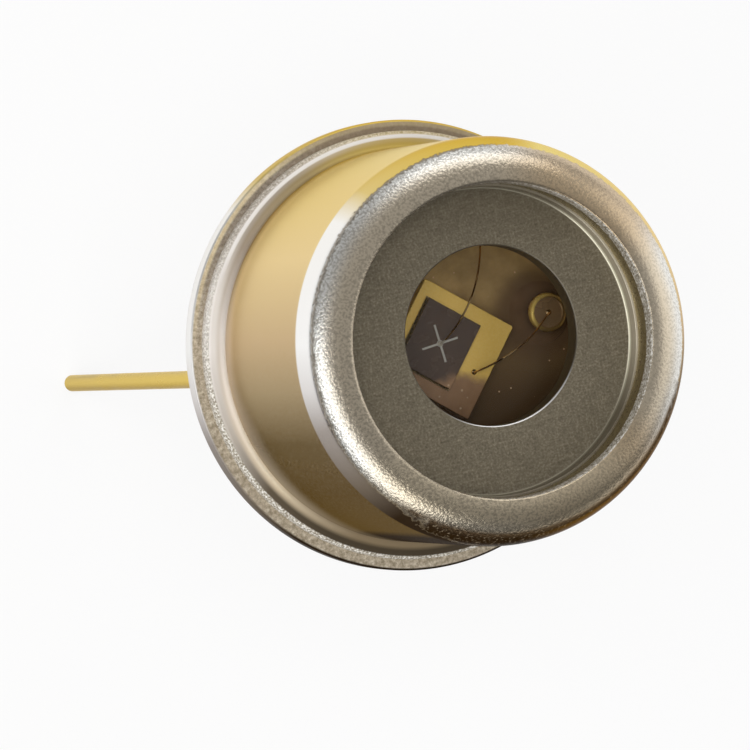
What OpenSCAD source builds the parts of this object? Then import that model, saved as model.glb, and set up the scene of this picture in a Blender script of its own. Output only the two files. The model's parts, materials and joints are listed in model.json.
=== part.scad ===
// Ultraviolet photodiode in a round metal can with a window and two leads.
// Lengths are in millimetres. +Z runs along the optical axis towards the window,
// the origin is the centre of the seating face, and the leads lie on the X axis.

/* [Can] */
// Outer diameter of the can's wall
cap_d = 8; // [7.2:0.05:9]
// Height of the can above the header's flange
cap_h = 5.97; // [5.7:0.01:7]
// Thickness of the can's metal
cap_t = 0.3; // [0.2:0.02:0.34]
// Width of the can's weld flange, outside its wall
cap_flange_w = 0.36; // [0.2:0.02:0.6]
// Radius of the fillet between flange and wall
cap_fillet_r = 0.1; // [0.06:0.01:0.15]
// Rounding of the flange's upper edge
cap_flange_edge_r = 0.12; // [0.05:0.01:0.18]
// Outer radius of the can's shoulder
shoulder_r = 0.87; // [0.7:0.01:0.92]
// Inner radius of the can's shoulder
shoulder_inner_r = 0.45; // [0.3:0.01:0.5]
// Width of the can's rim, from its wall to the punched opening
rim_w = 0.95; // [0.9:0.01:1.3]
// Rounding of the opening's upper edge
opening_edge_r = 0.08; // [0.04:0.01:0.1]

/* [Header] */
// Thickness of the header's weld flange
flange_t = 0.4; // [0.2:0.05:0.5]
// How far the header's flange reaches past the can's flange
flange_step = 0.24; // [0.1:0.02:0.4]
// Gap between the raised platform and the can's wall
platform_gap = 0.15; // [0.1:0.01:0.3]
// Height of the platform's floor above the seating face
platform_h = 1.5; // [1.1:0.1:1.9]
// Rounding of the flange's outer edges
flange_edge_r = 0.06; // [0.02:0.01:0.1]
// Rounding of the platform's upper edge
platform_edge_r = 0.12; // [0.05:0.01:0.25]
// How far the index tab stands out of the flange
tab_l = 0.8; // [0.5:0.1:1.2]
// Width of the index tab
tab_w = 0.8; // [0.6:0.1:1.1]
// Direction of the index tab, measured from the signal lead
tab_turn = -45; // [-60:5:-30]

/* [Leads] */
// Distance of each lead's axis from the platform's edge
lead_inset = 1.01; // [0.8:0.01:1.3]
// Diameter of a lead
lead_d = 0.38; // [0.3:0.01:0.5]
// Length of a lead below the seating face
lead_l = 17; // [10:0.5:25]
// Rounding of a lead's cut end
lead_tip_r = 0.08; // [0.04:0.01:0.12]
// Thickness of the plating on a lead, which the glass seal keeps off it
plating_t = 0.005; // [0.002:0.001:0.01]
// Diameter of the glass seal around the signal lead
bead_d = 1.3; // [1.1:0.1:1.5]
// How far the glass stays back from the header's faces
bead_recess = 0.05; // [0.02:0.01:0.1]
// Diameter of the coined head on the signal lead
post_d = 0.8; // [0.7:0.05:1]
// Thickness of the coined head
post_t = 0.22; // [0.18:0.02:0.3]
// Height of the post's top above the platform
post_h = 0.6; // [0.5:0.05:0.9]
// Rounding of the post head's rim
post_rim_r = 0.08; // [0.05:0.01:0.09]
// Depth of the dish in the post's top
post_dish = 0.05; // [0.02:0.01:0.08]
// Diameter of the weld upset at the top of the case lead
weld_d = 0.66; // [0.56:0.02:0.8]
// Height of the weld upset
weld_h = 0.16; // [0.1:0.02:0.3]

/* [Photodiode chip] */
// Side of the square gold-plated carrier
carrier_w = 2.1; // [1.9:0.1:2.3]
// Thickness of the carrier
carrier_t = 0.75; // [0.5:0.05:1]
// Rounding of the carrier's upright edges
carrier_edge_r = 0.04; // [0.02:0.01:0.1]
// Thickness of the solder under the carrier
carrier_solder_t = 0.05; // [0.03:0.01:0.1]
// How far the carrier's centre lies from the optical axis, on its own X axis
carrier_shift = 0.23; // [0:0.01:0.3]
// Turn of the carrier and the chip about the optical axis
die_turn = -42; // [-50:1:-35]
// Width of the chip
chip_w = 1.22; // [1.1:0.02:1.3]
// Length of the chip
chip_l = 1.43; // [1.2:0.01:1.6]
// Thickness of the chip
chip_t = 0.14; // [0.1:0.01:0.3]
// Thickness of the solder under the chip
chip_solder_t = 0.03; // [0.02:0.01:0.06]
// How far the solder under the chip shows at its edges
chip_solder_lip = 0.03; // [0.01:0.01:0.08]
// Thickness of the metal contact on the chip
contact_t = 0.02; // [0.015:0.005:0.03]
// Length of each arm of the contact's cross, from its centre
contact_arm = 0.39; // [0.3:0.01:0.45]
// Width of the cross's arms
contact_w = 0.04; // [0.03:0.005:0.06]
// Side of the bond pad in the middle of the cross
contact_pad = 0.13; // [0.12:0.01:0.18]

/* [Bond wires] */
// Diameter of a bond wire
wire_d = 0.04; // [0.03:0.005:0.05]
// Diameter of a wire's pressed foot
foot_d = 0.11; // [0.08:0.01:0.12]
// Height of a wire's pressed foot
foot_h = 0.03; // [0.02:0.01:0.05]
// Height of a wire's loop above the line between its feet
loop_rise = 0.8; // [0.5:0.05:1]
// Distance of the chip wire's landing from the platform's edge
ground_inset = 0.74; // [0.4:0.02:1]
// Direction of that landing, measured from the signal lead
ground_turn = 51; // [40:1:70]
// Distance of the carrier wire's foot from the carrier's nearest edge
carrier_foot_inset = 0.33; // [0.15:0.01:0.4]
// Distance of the carrier wire's foot from the middle of that edge
carrier_foot_slide = 0.15; // [0:0.01:0.3]

/* [Window] */
// Gap between the aperture disc and the can's wall
disc_gap = 0.2; // [0.1:0.02:0.3]
// Thickness of the aperture disc, without its raised rim
disc_t = 0.5; // [0.3:0.05:0.6]
// Height of the disc's raised rim above its face
disc_rim_h = 0.35; // [0.2:0.05:0.5]
// How far the raised rim stands in from the can's opening
disc_rim_inset = 0.03; // [0.02:0.01:0.1]
// Rounding of the raised rim's inner edge
disc_rim_edge_r = 0.02; // [0.01:0.01:0.04]
// Radius of the fillet at the foot of the raised rim
disc_rim_fillet_r = 0.06; // [0.03:0.01:0.12]
// Diameter of the light opening in the aperture disc
aperture_d = 3.54; // [2.5:0.01:3.8]
// How far the light opening lies off the axis, along X
aperture_shift_x = 0.16; // [0:0.01:0.2]
// How far the light opening lies off the axis, along Y
aperture_shift_y = 0.08; // [0:0.01:0.15]
// Rounding of the light opening's upper edge
aperture_edge_r = 0.03; // [0.01:0.01:0.06]
// Thickness of the solder ring between can and aperture disc
disc_seal_t = 0.5; // [0.3:0.05:0.6]
// How far the solder ring stays back from the edge of the can's opening
disc_seal_inset = 0.02; // [0.01:0.01:0.06]
// How far the window glass reaches past the light opening
glass_lap = 0.94; // [0.8:0.02:1.2]
// Thickness of the window glass
glass_t = 0.7; // [0.4:0.05:0.8]
// Thickness of the seal between disc and glass
window_seal_t = 0.08; // [0.05:0.01:0.12]
// Width of the seal between disc and glass
window_seal_w = 0.5; // [0.3:0.05:0.6]

/* [Hidden] */

$fn = 96;
// Overshoot of a cutting shape past the face that it cuts
cut = 1;

cap_r = cap_d / 2;
cap_inner_r = cap_r - cap_t;
cap_flange_r = cap_r + cap_flange_w;
cap_bend_r = cap_fillet_r + cap_t;
cap_top_z = flange_t + cap_h;
opening_r = cap_r - rim_w;

flange_r = cap_flange_r + flange_step;
platform_r = cap_inner_r - platform_gap;
lead_x = platform_r - lead_inset;
lead_r = lead_d / 2;
bare_lead_r = lead_r - plating_t;
bead_top_z = platform_h - bead_recess;
post_top_z = platform_h + post_h;

carrier_z = platform_h + carrier_solder_t;
chip_solder_z = carrier_z + carrier_t;
chip_z = chip_solder_z + chip_solder_t;
contact_z = chip_z + chip_t;
pad_z = contact_z + contact_t;
// The cross runs along the chip's diagonals
contact_turn = 45;

disc_r = cap_inner_r - disc_gap;
disc_rim_r = opening_r - disc_rim_inset;
disc_rim_top_z = cap_top_z - cap_t - disc_seal_t;
disc_face_z = disc_rim_top_z - disc_rim_h;
disc_z = disc_face_z - disc_t;
// Outer radius of the solder ring: where the cap's inner shoulder begins to curve
disc_seal_r = cap_inner_r - shoulder_inner_r;
aperture_r = aperture_d / 2;
glass_r = aperture_r + glass_lap;
glass_top_z = disc_z - window_seal_t;

// Bond wires: sides of the tube, rings along it and where the loop is highest
wire_sides = 8;
wire_rings = 24;
loop_skew = 0.75;
neck_h = 0.02;
// Share of the way, to each side of a ring, over which the wire's direction is taken
wire_look = 0.2 / wire_rings;
carrier_foot = turned([
    carrier_shift + carrier_w / 2 - carrier_foot_inset,
    -carrier_foot_slide
], die_turn);
ground_foot = turned([platform_r - ground_inset, 0], ground_turn);

// A point of the plane, turned about the origin
function turned(p, angle) = [
    p[0] * cos(angle) - p[1] * sin(angle),
    p[0] * sin(angle) + p[1] * cos(angle)
];

// Height of a wire's loop above its first foot, at the share t of its way
function loop_z(t, drop) = -drop * t * t + loop_rise * sin(180 * pow(t, loop_skew));

// Point of a wire at the share t of its way from foot a to foot b
function loop_point(a, b, t) = [
    a[0] + (b[0] - a[0]) * t,
    a[1] + (b[1] - a[1]) * t,
    a[2] + loop_z(t, a[2] - b[2])
];

// Ring of a tube around point p: side is level, lift is across the tube
function tube_ring(p, r, side, lift) = [
    for (k = [0 : wire_sides - 1])
        let (angle = 360 * k / wire_sides)
        p + r * (cos(angle) * side + sin(angle) * lift)
];

// Level ring, for a pressed foot and its neck
function foot_ring(p, h, r, side, ahead) = tube_ring(p + [0, 0, h], r, side, ahead);

// All rings of a wire, from the first foot up over the loop and down to the second
function wire_ring_points(a, b) =
    let (
        span = norm([b[0] - a[0], b[1] - a[1]]),
        ahead = [(b[0] - a[0]) / span, (b[1] - a[1]) / span, 0],
        side = [ahead[1], -ahead[0], 0],
        rise = [0, 0, foot_h + neck_h],
        top_a = a + rise,
        top_b = b + rise
    )
    concat(
        [
            foot_ring(a, 0, foot_d / 2, side, ahead),
            foot_ring(a, foot_h, foot_d / 2, side, ahead),
            foot_ring(a, foot_h + neck_h, wire_d / 2, side, ahead)
        ],
        [
            for (i = [1 : wire_rings - 1])
                let (
                    t = i / wire_rings,
                    behind = loop_point(top_a, top_b, t - wire_look),
                    way = loop_point(top_a, top_b, t + wire_look) - behind,
                    lift = cross(side, way / norm(way))
                )
                tube_ring(loop_point(top_a, top_b, t), wire_d / 2, side, -lift)
        ],
        [
            foot_ring(b, foot_h + neck_h, wire_d / 2, side, -ahead),
            foot_ring(b, foot_h, foot_d / 2, side, -ahead),
            foot_ring(b, 0, foot_d / 2, side, -ahead)
        ]
    );

// Bond wire with a pressed foot at each end
module bond_wire(a, b) {
    rings = wire_ring_points(a, b);
    last = len(rings) - 1;
    points = [for (ring = rings) for (p = ring) p];
    walls = [
        for (i = [0 : last - 1])
            for (k = [0 : wire_sides - 1])
                let (
                    next = (k + 1) % wire_sides,
                    low = i * wire_sides,
                    high = low + wire_sides
                )
                [low + k, high + k, high + next, low + next]
    ];
    first_end = [for (k = [0 : wire_sides - 1]) k];
    last_end = [for (k = [wire_sides - 1 : -1 : 0]) last * wire_sides + k];
    polyhedron(points, concat(walls, [first_end, last_end]), convexity = 8);
}

// Half section of a disc from the axis to radius r, with a rounded upper edge
module round_top_section(r, z0, z1, edge) {
    translate([0, z0]) square([r, z1 - z0 - edge]);
    translate([0, z0]) square([r - edge, z1 - z0]);
    translate([r - edge, z1 - edge]) circle(edge);
}

// Half section of a disc from the axis to radius r, with both edges rounded
module round_edge_section(r, z0, z1, edge) {
    translate([0, z0 + edge]) square([r, z1 - z0 - 2 * edge]);
    translate([0, z0]) square([r - edge, z1 - z0]);
    translate([r - edge, z0 + edge]) circle(edge);
    translate([r - edge, z1 - edge]) circle(edge);
}

// Corner between two straight edges, filled up to a hollow arc of radius r
module hollow_corner(r) {
    difference() {
        square(r);
        translate([r, r]) circle(r);
    }
}

// Square block with rounded upright edges, centred on the axis
module rounded_block(w, h, edge) {
    linear_extrude(h) {
        square([w, w - 2 * edge], center = true);
        square([w - 2 * edge, w], center = true);
        for (x = [-1, 1])
            for (y = [-1, 1])
                translate([x * (w / 2 - edge), y * (w / 2 - edge)]) circle(edge);
    }
}

// Ring between two radii
module ring(r_outer, r_inner, z0, h) {
    translate([0, 0, z0])
        difference() {
            cylinder(r = r_outer, h = h);
            translate([0, 0, -cut]) cylinder(r = r_inner, h = h + 2 * cut);
        }
}

// Half section of a lead below height z1, with its cut end rounded
module lead_section(z1) {
    translate([0, -lead_l + lead_tip_r]) square([lead_r, z1 + lead_l - lead_tip_r]);
    translate([0, -lead_l]) square([lead_r - lead_tip_r, lead_tip_r]);
    intersection() {
        translate([lead_r - lead_tip_r, -lead_l + lead_tip_r]) circle(lead_tip_r);
        translate([0, -lead_l]) square([lead_d, lead_tip_r]);
    }
}

// Coined base with flange, platform, index tab and the seal's hole
module header() {
    color("#b08d4a")
        difference() {
            union() {
                rotate_extrude() {
                    round_edge_section(flange_r, 0, flange_t, flange_edge_r);
                    round_top_section(platform_r, 0, platform_h, platform_edge_r);
                }
                rotate([0, 0, tab_turn])
                    translate([flange_r - tab_w / 2, -tab_w / 2, 0])
                        cube([tab_l + tab_w / 2, tab_w, flange_t]);
            }
            translate([lead_x, 0, -cut]) cylinder(d = bead_d, h = platform_h + 2 * cut);
        }
}

// Glass that holds the signal lead in the header
module glass_bead() {
    color("#3d4a46")
        translate([lead_x, 0, 0])
            ring(bead_d / 2, bare_lead_r, bead_recess, bead_top_z - bead_recess);
}

// Insulated lead, bare inside the glass, with its coined and dished post head
module signal_lead() {
    color("#dcc07a")
        translate([lead_x, 0, 0])
            rotate_extrude() {
                lead_section(bead_recess);
                translate([0, bead_recess]) square([bare_lead_r, bead_top_z - bead_recess]);
                translate([0, bead_top_z]) square([lead_r, post_top_z - post_t / 2 - bead_top_z]);
                difference() {
                    round_edge_section(post_d / 2, post_top_z - post_t, post_top_z, post_rim_r);
                    translate([0, post_top_z - post_dish])
                        square([post_d / 2 - post_rim_r, post_dish + cut]);
                }
            }
}

// Lead welded to the underside of the header
module case_lead() {
    color("#dcc07a")
        translate([-lead_x, 0, 0]) {
            rotate_extrude() lead_section(0);
            translate([0, 0, -weld_h]) cylinder(d1 = lead_d, d2 = weld_d, h = weld_h);
        }
}

// Solder between header and carrier
module carrier_solder() {
    color("#8a8a84")
        rotate([0, 0, die_turn])
            translate([carrier_shift, 0, platform_h])
                rounded_block(carrier_w, carrier_solder_t, carrier_edge_r);
}

// Gold-plated carrier
module carrier() {
    color("#c29b4a")
        rotate([0, 0, die_turn])
            translate([carrier_shift, 0, carrier_z])
                rounded_block(carrier_w, carrier_t, carrier_edge_r);
}

// Solder between carrier and chip
module chip_solder() {
    color("#8f7a55")
        rotate([0, 0, die_turn])
            translate([
                -chip_w / 2 - chip_solder_lip,
                -chip_l / 2 - chip_solder_lip,
                chip_solder_z
            ])
                cube([chip_w + 2 * chip_solder_lip, chip_l + 2 * chip_solder_lip, chip_solder_t]);
}

// Photodiode die
module chip() {
    color("#3c3232")
        rotate([0, 0, die_turn])
            translate([-chip_w / 2, -chip_l / 2, chip_z]) cube([chip_w, chip_l, chip_t]);
}

// Metal cross with its bond pad on the chip
module chip_contact() {
    color("#8a867a")
        rotate([0, 0, die_turn + contact_turn])
            translate([0, 0, contact_z])
                linear_extrude(contact_t) {
                    square([2 * contact_arm, contact_w], center = true);
                    square([contact_w, 2 * contact_arm], center = true);
                    rotate(contact_turn) square(contact_pad, center = true);
                }
}

// Wire from the chip's pad to the header's floor
module chip_wire() {
    color("#d8c58c")
        bond_wire([0, 0, pad_z], [ground_foot[0], ground_foot[1], platform_h]);
}

// Wire from the carrier to the rim of the post
module carrier_wire() {
    color("#d8c58c")
        bond_wire(
            [carrier_foot[0], carrier_foot[1], chip_solder_z],
            [lead_x, 0, post_top_z - post_dish]
        );
}

// Drawn can with its weld flange and punched opening
module cap() {
    color("#c9c2ae")
        rotate_extrude()
            difference() {
                union() {
                    round_top_section(cap_r, flange_t, cap_top_z, shoulder_r);
                    round_top_section(cap_flange_r, flange_t, flange_t + cap_t, cap_flange_edge_r);
                    translate([cap_r, flange_t + cap_t]) hollow_corner(cap_fillet_r);
                }
                round_top_section(cap_inner_r, flange_t - cut, cap_top_z - cap_t, shoulder_inner_r);
                translate([cap_inner_r, flange_t]) hollow_corner(cap_bend_r);
                translate([0, cap_top_z - cap_t - cut]) square([opening_r, cap_t + 2 * cut]);
                translate([opening_r, cap_top_z]) mirror([0, 1]) hollow_corner(opening_edge_r);
            }
}

// Solder ring between the can's top and the disc's raised rim
module disc_seal() {
    color("#a8a496")
        ring(disc_seal_r, opening_r + disc_seal_inset, disc_rim_top_z, disc_seal_t);
}

// Half section of the aperture disc, before the light opening is cut
module disc_section() {
    translate([0, disc_z]) square([disc_r, disc_t]);
    translate([disc_rim_r, disc_face_z]) mirror([1, 0]) hollow_corner(disc_rim_fillet_r);
    difference() {
        translate([disc_rim_r, disc_z]) square([disc_r - disc_rim_r, disc_t + disc_rim_h]);
        translate([disc_rim_r, disc_rim_top_z]) mirror([0, 1]) hollow_corner(disc_rim_edge_r);
    }
}

// Matte disc with a raised rim and the light opening, whose upper edge is rounded
module aperture_disc() {
    color("#6b6657")
        difference() {
            rotate_extrude() disc_section();
            translate([aperture_shift_x, aperture_shift_y, 0])
                rotate_extrude() {
                    translate([0, disc_z - cut]) square([aperture_r, disc_t + 2 * cut]);
                    translate([0, disc_face_z]) square([aperture_r + aperture_edge_r, cut]);
                    translate([aperture_r, disc_face_z]) mirror([0, 1]) hollow_corner(aperture_edge_r);
                }
        }
}

// Sealing ring between disc and glass
module window_seal() {
    color("#4a4d4a")
        ring(glass_r, glass_r - window_seal_w, glass_top_z, window_seal_t);
}

// Flat window
module window_glass() {
    color("#dfe6e6", 0.35)
        translate([0, 0, glass_top_z - glass_t]) cylinder(r = glass_r, h = glass_t);
}

header();
glass_bead();
signal_lead();
case_lead();
carrier_solder();
carrier();
chip_solder();
chip();
chip_contact();
chip_wire();
carrier_wire();
cap();
disc_seal();
aperture_disc();
window_seal();
window_glass();
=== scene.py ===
import json
import math

import bmesh
import bpy
from mathutils import Matrix, Vector


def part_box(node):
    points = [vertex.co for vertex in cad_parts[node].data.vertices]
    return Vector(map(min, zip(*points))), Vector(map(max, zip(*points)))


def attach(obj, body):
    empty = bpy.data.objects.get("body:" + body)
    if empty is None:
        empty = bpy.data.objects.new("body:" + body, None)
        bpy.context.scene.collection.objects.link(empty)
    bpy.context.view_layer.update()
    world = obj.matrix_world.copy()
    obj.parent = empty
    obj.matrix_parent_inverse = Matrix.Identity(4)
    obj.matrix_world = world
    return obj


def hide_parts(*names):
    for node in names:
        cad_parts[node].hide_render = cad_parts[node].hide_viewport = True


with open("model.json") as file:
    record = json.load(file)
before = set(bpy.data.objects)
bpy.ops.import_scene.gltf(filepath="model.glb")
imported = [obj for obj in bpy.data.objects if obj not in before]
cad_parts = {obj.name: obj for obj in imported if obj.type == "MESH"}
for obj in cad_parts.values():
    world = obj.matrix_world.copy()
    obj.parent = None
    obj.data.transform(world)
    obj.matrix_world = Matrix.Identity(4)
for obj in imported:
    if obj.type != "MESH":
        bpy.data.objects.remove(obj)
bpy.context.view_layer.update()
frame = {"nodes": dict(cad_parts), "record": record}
mounts = {mount["name"]: mount for mount in frame["record"]["mounts"]}
bpy.context.scene.view_settings.view_transform = "Standard"

# Camera
# The can is seen from above its window and a little from the left, where its wall and one lead show,
# with a long lens about eleven centimetres away.
MM = 0.001
PICTURE_PIXELS = 750
FOCAL_PIXELS = 5498
SENSOR_MM = 36
view_tilt = math.radians(18)
view_roll = math.radians(-1.71)
row_turn = math.radians(13)
look_height = 2.5
view_distance = 110
slide_right = 1.308
slide_up = 0.631


def in_row(right, up, out):
    """A direction in the part's frame, given as the picture shows it to a viewer over the can."""
    across = right * math.cos(row_turn) + up * math.sin(row_turn)
    along = up * math.cos(row_turn) - right * math.sin(row_turn)
    return Vector((across, along, out))


to_camera = in_row(-math.sin(view_tilt), 0, math.cos(view_tilt))
level_right = in_row(math.cos(view_tilt), 0, math.sin(view_tilt))
level_up = in_row(0, 1, 0)
picture_right = level_right * math.cos(view_roll) + level_up * math.sin(view_roll)
picture_up = level_up * math.cos(view_roll) - level_right * math.sin(view_roll)
camera_place = Vector((0, 0, look_height)) - slide_right * picture_right - slide_up * picture_up
camera_place += view_distance * to_camera

camera_data = bpy.data.cameras.new("camera")
camera_data.sensor_width = SENSOR_MM
camera_data.lens = FOCAL_PIXELS / PICTURE_PIXELS * SENSOR_MM
camera_data.clip_start = 0.01
camera = bpy.data.objects.new("camera", camera_data)
turn = Matrix((picture_right, picture_up, to_camera)).transposed().to_4x4()
camera.matrix_world = Matrix.Translation(camera_place * MM) @ turn
bpy.context.scene.collection.objects.link(camera)
bpy.context.scene.camera = camera

# Header
# Coined nickel-iron base that everything is built on: a thin weld flange with an index tab,
# and a raised platform, gold plated inside the can, with one hole for the glass seal.
STEPS = 256
CLOSE = 1e-6
SHARP_ANGLE = math.radians(40)
flange_r = -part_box("header")[0].x / MM
flange_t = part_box("cap")[0].z / MM
flange_edge_r = 0.06
can_flange_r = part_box("cap")[1].x / MM
platform_r = 3.55
platform_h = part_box("header")[1].z / MM
platform_edge_r = 0.12
lead_x = mounts["lead_pair"]["dims"]["spacing_x_mm"] / 2
bead_r = (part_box("glass_bead")[1].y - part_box("glass_bead")[0].y) / MM / 2
tab_l = 0.8
tab_w = 0.8
tab_turn = math.radians(-45)


def turned(bm, outline, x=0.0, closed=False, steps=STEPS):
    """Turns a half section, given as radius and height, about an upright axis."""
    verts = [bm.verts.new(Vector((x + radius, 0, height)) * MM) for radius, height in outline]
    follow = verts[1:] + verts[:1] if closed else verts[1:]
    edges = [bm.edges.new(pair) for pair in zip(verts, follow)]
    bmesh.ops.spin(
        bm, geom=verts + edges, cent=(x * MM, 0, 0), axis=(0, 0, 1),
        angle=2 * math.pi, steps=steps, use_merge=True)
    bmesh.ops.remove_doubles(bm, verts=bm.verts, dist=0.1 * CLOSE)
    bmesh.ops.recalc_face_normals(bm, faces=bm.faces)


def move_ring(bm, radius, x, y=0.0):
    """Moves the rings of this radius off the axis."""
    for vert in bm.verts:
        if abs(vert.co.xy.length - radius * MM) < CLOSE:
            vert.co += Vector((x, y, 0)) * MM


def ring_at(bm, radius, height, x=0.0, y=0.0):
    """The ring of edges at this radius and height."""
    def on_it(vert):
        away = math.hypot(vert.co.x - x * MM, vert.co.y - y * MM)
        return abs(away - radius * MM) < CLOSE and abs(vert.co.z - height * MM) < CLOSE
    return [edge for edge in bm.edges if all(on_it(vert) for vert in edge.verts)]


def round_off(bm, edges, size, segments):
    """Rounds edges to this radius."""
    bmesh.ops.bevel(
        bm, geom=edges, offset=size * MM, offset_type="OFFSET", affect="EDGES",
        segments=segments, profile=0.5, material=-1, clamp_overlap=False)


def finish_piece(bm, name, material, node):
    """Makes a mesh the piece that stands for a node of the part."""
    bmesh.ops.remove_doubles(bm, verts=bm.verts, dist=CLOSE)
    bmesh.ops.recalc_face_normals(bm, faces=bm.faces)
    for face in bm.faces:
        face.smooth = True
    mesh = bpy.data.meshes.new(name)
    bm.to_mesh(mesh)
    bm.free()
    mesh.set_sharp_from_angle(angle=SHARP_ANGLE)
    piece = bpy.data.objects.new(name, mesh)
    bpy.context.scene.collection.objects.link(piece)
    level_faces = piece.modifiers.new("level_faces", "WEIGHTED_NORMAL")
    level_faces.keep_sharp = True
    mesh.materials.append(material)
    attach(piece, "root")
    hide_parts(node)


class Nodes:
    """A node tree, built up step by step."""

    def __init__(self, tree):
        self.nodes = tree.nodes
        self.links = tree.links

    def add(self, kind, **settings):
        node = self.nodes.new(kind)
        for name, value in settings.items():
            setattr(node, name, value)
        return node

    def put(self, socket, value):
        if isinstance(value, bpy.types.NodeSocket):
            self.links.new(value, socket)
        elif socket.type == "RGBA":
            socket.default_value = (*value, 1)
        else:
            socket.default_value = value

    def vector_math(self, operation, a, b=None):
        node = self.add("ShaderNodeVectorMath", operation=operation)
        self.put(node.inputs[0], a)
        if b is not None:
            self.put(node.inputs[1], b)
        return node.outputs["Value" if operation in ("DOT_PRODUCT", "LENGTH") else "Vector"]

    def math(self, operation, a, b=0.0):
        node = self.add("ShaderNodeMath", operation=operation)
        self.put(node.inputs[0], a)
        self.put(node.inputs[1], b)
        return node.outputs["Value"]

    def times(self, a, b):
        return self.math("MULTIPLY", a, b)

    def between(self, value, low, high, to_low=0.0, to_high=1.0):
        """How far a value has gone from low to high, eased at both ends."""
        node = self.add("ShaderNodeMapRange", interpolation_type="SMOOTHSTEP")
        given = {
            "Value": value, "From Min": low, "From Max": high,
            "To Min": to_low, "To Max": to_high}
        for name, number in given.items():
            self.put(node.inputs[name], number)
        return node.outputs["Result"]

    def mix(self, share, a, b):
        node = self.add("ShaderNodeMix", data_type="RGBA")
        self.put(node.inputs[0], share)
        self.put(node.inputs[6], a)
        self.put(node.inputs[7], b)
        return node.outputs[2]

    def ramp(self, value, *stops):
        node = self.add("ShaderNodeValToRGB")
        elements = node.color_ramp.elements
        while len(elements) < len(stops):
            elements.new(1.0)
        for element, (position, colour) in zip(elements, stops):
            element.position = position
            element.color = (*colour, 1)
        self.put(node.inputs["Fac"], value)
        return node.outputs["Color"]


class Finish(Nodes):
    """A surface finish. Lengths in it are millimetres."""

    def __init__(self, name, metallic, roughness):
        self.material = bpy.data.materials.new(name)
        self.material.use_nodes = True
        super().__init__(self.material.node_tree)
        self.surface = self.nodes["Principled BSDF"]
        self.set("Metallic", metallic)
        self.set("Roughness", roughness)
        self.place = self.vector_math("SCALE", self.add("ShaderNodeTexCoord").outputs["Object"])
        self.place.node.inputs["Scale"].default_value = 1 / MM

    def set(self, name, value):
        self.put(self.surface.inputs[name], value)

    def colour(self, colour, whitens=(0.42, 0.42, 0.42)):
        """Sets the colour of a metal, most of which stays when it is seen along its surface."""
        self.set("Base Color", colour)
        part = self.vector_math("MULTIPLY", colour, (0.6, 0.6, 0.6))
        self.set("Specular Tint", self.vector_math("ADD", part, whitens))

    def noise(self, grain, detail=2.0, rough=0.5, stretch=(1, 1, 1), seed=0.0):
        """Cloudy noise with grains of this size."""
        node = self.add("ShaderNodeTexNoise")
        stretched = self.vector_math("MULTIPLY", self.place, stretch)
        self.put(node.inputs["Vector"], self.vector_math("ADD", stretched, (seed, seed, seed)))
        self.put(node.inputs["Scale"], 1 / grain)
        self.put(node.inputs["Detail"], detail)
        self.put(node.inputs["Roughness"], rough)
        return node.outputs["Fac"]

    def specks(self, spacing, size, share, seed=0.0):
        """Scattered round dots about this far apart, of which only a share is there."""
        node = self.add("ShaderNodeTexVoronoi")
        self.put(node.inputs["Vector"], self.vector_math("ADD", self.place, (seed, seed, seed)))
        self.put(node.inputs["Scale"], 1 / spacing)
        dot = self.between(node.outputs["Distance"], size / spacing, 0.6 * size / spacing)
        there = self.between(node.outputs["Color"], share + 0.01, share)
        return self.times(dot, there)

    def relief(self, height):
        """Bumps whose height is given in millimetres."""
        node = self.add("ShaderNodeBump")
        node.inputs["Distance"].default_value = MM
        self.put(node.inputs["Height"], height)
        self.set("Normal", node.outputs["Normal"])

    def axis(self, direction):
        """Place along a direction."""
        return self.vector_math("DOT_PRODUCT", self.place, tuple(direction))

    def radius(self, x=0.0, y=0.0):
        """Distance from an upright axis."""
        level = self.vector_math("MULTIPLY", self.place, (1, 1, 0))
        return self.vector_math("LENGTH", self.vector_math("SUBTRACT", level, (x, y, 0)))

    def upward(self):
        """Place around the axis, from -1 at the foot of the picture to 1 at its head."""
        return self.math("DIVIDE", self.axis(in_row(0, 1, 0)), self.radius())

    def around(self, *stops):
        """Colours around the axis, each at its upward place."""
        share = self.math("ADD", self.times(self.upward(), 0.5), 0.5)
        return self.ramp(share, *((0.5 * place + 0.5, colour) for place, colour in stops))


# Painted shade, and a painted reflection around the axis: dark at the picture's foot, white at its
# sides and straw at its head.
PAINTED_SHADE = (0.035, 0.021, 0.011)
STRAW = (0.74, 0.57, 0.22)
PAINTED_REFLECTION = (
    (-0.85, PAINTED_SHADE), (-0.7, (0.17, 0.135, 0.1)), (-0.42, (0.36, 0.32, 0.29)),
    (-0.22, (0.74, 0.71, 0.69)), (0.0, (0.94, 0.93, 0.91)), (0.6, (0.94, 0.92, 0.88)),
    (0.75, STRAW), (1.0, (0.7, 0.48, 0.08)))
# The gold floor inside the can, with painted shade towards the picture's foot and around the glass
# bead.
FLOOR_PAINTED_SHADE = (0.18, 0.113, 0.056)
FLOOR_GOLD = (0.98, 0.68, 0.29)
FLOOR_SHADE_ROUND_BEAD = (0.19, 0.115, 0.06)
DUST = (1.0, 0.66, 0.38)
NICKEL = (
    (0.34, (0.3, 0.245, 0.165)), (0.5, (0.57, 0.48, 0.355)), (0.66, (0.86, 0.78, 0.64)))
# Painted light on the flange towards the picture's head: shade by the can's lip, a pale highlight,
# brown at the very head.
LIP_SHADE = (0.15, 0.12, 0.11)
FLANGE_PAINTED_HIGHLIGHT = (0.95, 0.8, 0.5)
FLANGE_PAINTED_SHADE = (0.3, 0.22, 0.13)
flange_grain = 0.1
flange_grain_h = 0.001
shade_round_bead_w = 0.55
dust_spacing = 0.16
dust_size = 0.022

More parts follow.
